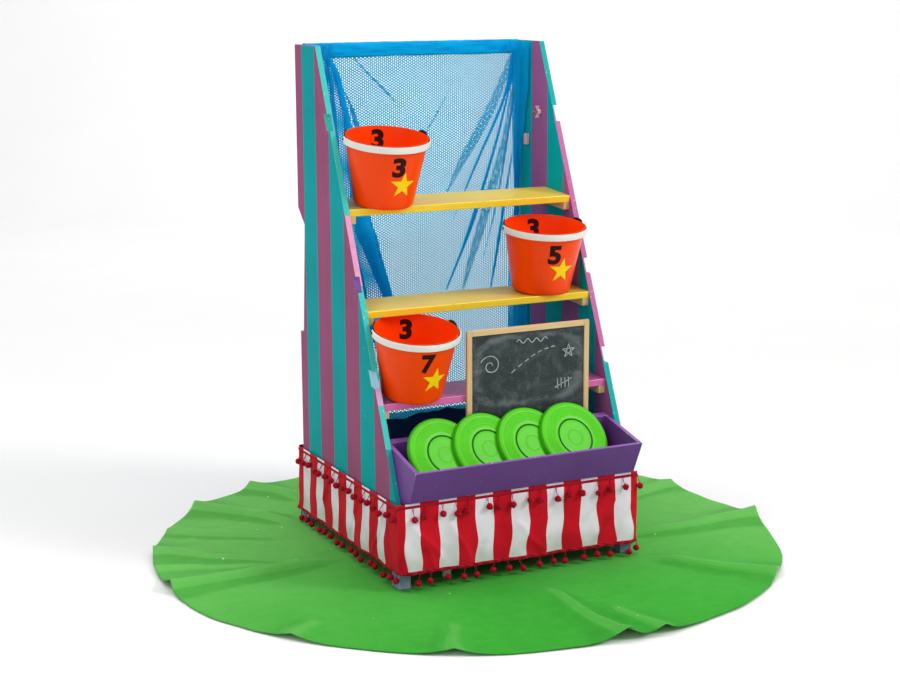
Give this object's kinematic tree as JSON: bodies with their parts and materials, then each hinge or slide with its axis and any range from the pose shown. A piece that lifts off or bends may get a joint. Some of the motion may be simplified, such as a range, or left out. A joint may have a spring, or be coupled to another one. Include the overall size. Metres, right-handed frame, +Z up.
{
  "type": "flying disc toss game",
  "caption": "Carnival-style disc toss booth: striped side panels, shelves with scoring buckets, back net, trough of flying discs, chalkboard, skirted plinth and round ground mat.",
  "frame": {"origin": "centre of the round ground mat, at floor level", "axes": "+Z up; -Y is the front, where the player stands; +X to the right seen from the front"},
  "size_m": [1.836, 1.836, 1.4692],
  "materials": {
    "mat_green": "matte coated cloth with soft folds",
    "foot_paint": "blue-grey paint",
    "base_paint": "matt dark paint",
    "leg_white": "plain",
    "panel_paint": "satin paint in wide upright stripes",
    "steel": "zinc plated",
    "nut_pink": "pale pink paint",
    "peg_paint": "pale pink paint",
    "shelf_yellow": "satin paint",
    "shelf_pink": "satin paint",
    "plain_wood": "planed, unpainted",
    "net_blue": "fine soft mesh",
    "navy_board": "matt dark paint",
    "skirt_cloth": "striped cotton with bobble fringe",
    "trough_purple": "satin paint with worn edges",
    "slate": "matt chalkboard paint",
    "bucket_red": "moulded, glossy",
    "band_white": "moulded",
    "ear_black": "moulded",
    "disc_green": "moulded with fine rings"
  },
  "bodies": {
    "booth": {"ground_mat": "mat_green", "foot_front_left": "foot_paint", "foot_front_right": "foot_paint", "foot_rear_left": "foot_paint", "foot_rear_right": "foot_paint", "base_rail_left": "base_paint", "base_rail_right": "base_paint", "base_rail_front": "base_paint", "base_rail_rear": "base_paint", "base_deck": "base_paint", "centre_leg": "leg_white", "side_panel_left": "panel_paint", "side_panel_right": "panel_paint", "panel_bolt": "steel", "side_peg": "peg_paint", "shelf_top": "shelf_yellow", "shelf_middle": "shelf_yellow", "shelf_lower": "shelf_pink", "trough_batten": "plain_wood", "top_rail": "plain_wood", "back_net": "net_blue", "lower_back_panel": "navy_board", "skirt": "skirt_cloth", "trough_front": "trough_purple", "trough_rear": "trough_purple", "trough_floor": "trough_purple", "trough_end_left": "trough_purple", "trough_end_right": "trough_purple", "cleat_top_left": "plain_wood", "cleat_top_right": "plain_wood", "cleat_middle_left": "plain_wood", "cleat_middle_right": "plain_wood", "cleat_lower_left": "plain_wood", "cleat_lower_right": "plain_wood", "bucket_wedge_1": "plain_wood", "bucket_wedge_2": "plain_wood", "bucket_wedge_3": "plain_wood"},
    "bucket_body_1": {"bucket_1": "bucket_red", "ear_1_left": "ear_black", "ear_1_right": "ear_black"},
    "bail_body_1": {"bail_1": "band_white"},
    "bucket_body_2": {"bucket_2": "bucket_red", "ear_2_left": "ear_black", "ear_2_right": "ear_black"},
    "bail_body_2": {"bail_2": "band_white"},
    "bucket_body_3": {"bucket_3": "bucket_red", "ear_3_left": "ear_black", "ear_3_right": "ear_black"},
    "bail_body_3": {"bail_3": "band_white"},
    "disc_body_1": {"disc_1": "disc_green"},
    "disc_body_2": {"disc_2": "disc_green"},
    "disc_body_3": {"disc_3": "disc_green"},
    "disc_body_4": {"disc_4": "disc_green"},
    "board_body": {"board_rail_left": "plain_wood", "board_rail_right": "plain_wood", "board_rail_top": "plain_wood", "board_rail_bottom": "plain_wood", "board_slate": "slate"},
    "nut_body": {"wing_nut": "nut_pink"}
  },
  "joints": [
    {"name": "bucket_1_lift", "type": "slide", "parent": "booth", "child": "bucket_body_1", "axis": [0, -0.1736, 0.9848], "range_m": [0, 0.25]},
    {"name": "bucket_2_draw", "type": "slide", "parent": "booth", "child": "bucket_body_2", "axis": [0, -0.9404, 0.3401], "range_m": [0, 0.35]},
    {"name": "bucket_3_draw", "type": "slide", "parent": "booth", "child": "bucket_body_3", "axis": [0, -0.9999, 0.01], "range_m": [0, 0.12]},
    {"name": "bail_1_swing", "type": "hinge", "parent": "bucket_body_1", "child": "bail_body_1", "pos_m": [-0.2205, 0.06157, 1.20929], "axis": [-0.9781, 0.2048, 0.0361], "range_deg": [0, 180]},
    {"name": "bail_2_swing", "type": "hinge", "parent": "bucket_body_2", "child": "bail_body_2", "pos_m": [0.2469, -0.0215, 0.9374], "axis": [-0.9781, 0.2064, 0.0246], "range_deg": [0, 115]},
    {"name": "bail_3_swing", "type": "hinge", "parent": "bucket_body_3", "child": "bail_body_3", "pos_m": [-0.2329, -0.15321, 0.6907], "axis": [-0.9781, 0.2044, 0.0379], "range_deg": [0, 115]},
    {"name": "disc_1_lift", "type": "slide", "parent": "booth", "child": "disc_body_1", "axis": [0, -0.4226, 0.9063], "range_m": [0, 0.45]},
    {"name": "disc_2_lift", "type": "slide", "parent": "disc_body_1", "child": "disc_body_2", "axis": [0, -0.4226, 0.9063], "range_m": [0, 0.2]},
    {"name": "disc_3_lift", "type": "slide", "parent": "disc_body_2", "child": "disc_body_3", "axis": [0, -0.4226, 0.9063], "range_m": [0, 0.2]},
    {"name": "disc_4_lift", "type": "slide", "parent": "disc_body_3", "child": "disc_body_4", "axis": [0, -0.4226, 0.9063], "range_m": [0, 0.2]},
    {"name": "board_lift", "type": "slide", "parent": "booth", "child": "board_body", "axis": [0, 0, 1], "range_m": [0, 0.3]},
    {"name": "wing_nut_turn", "type": "hinge", "parent": "booth", "child": "nut_body", "pos_m": [0.3664, 0.236, 1.256], "axis": [-1, 0, 0], "continuous": true}
  ]
}
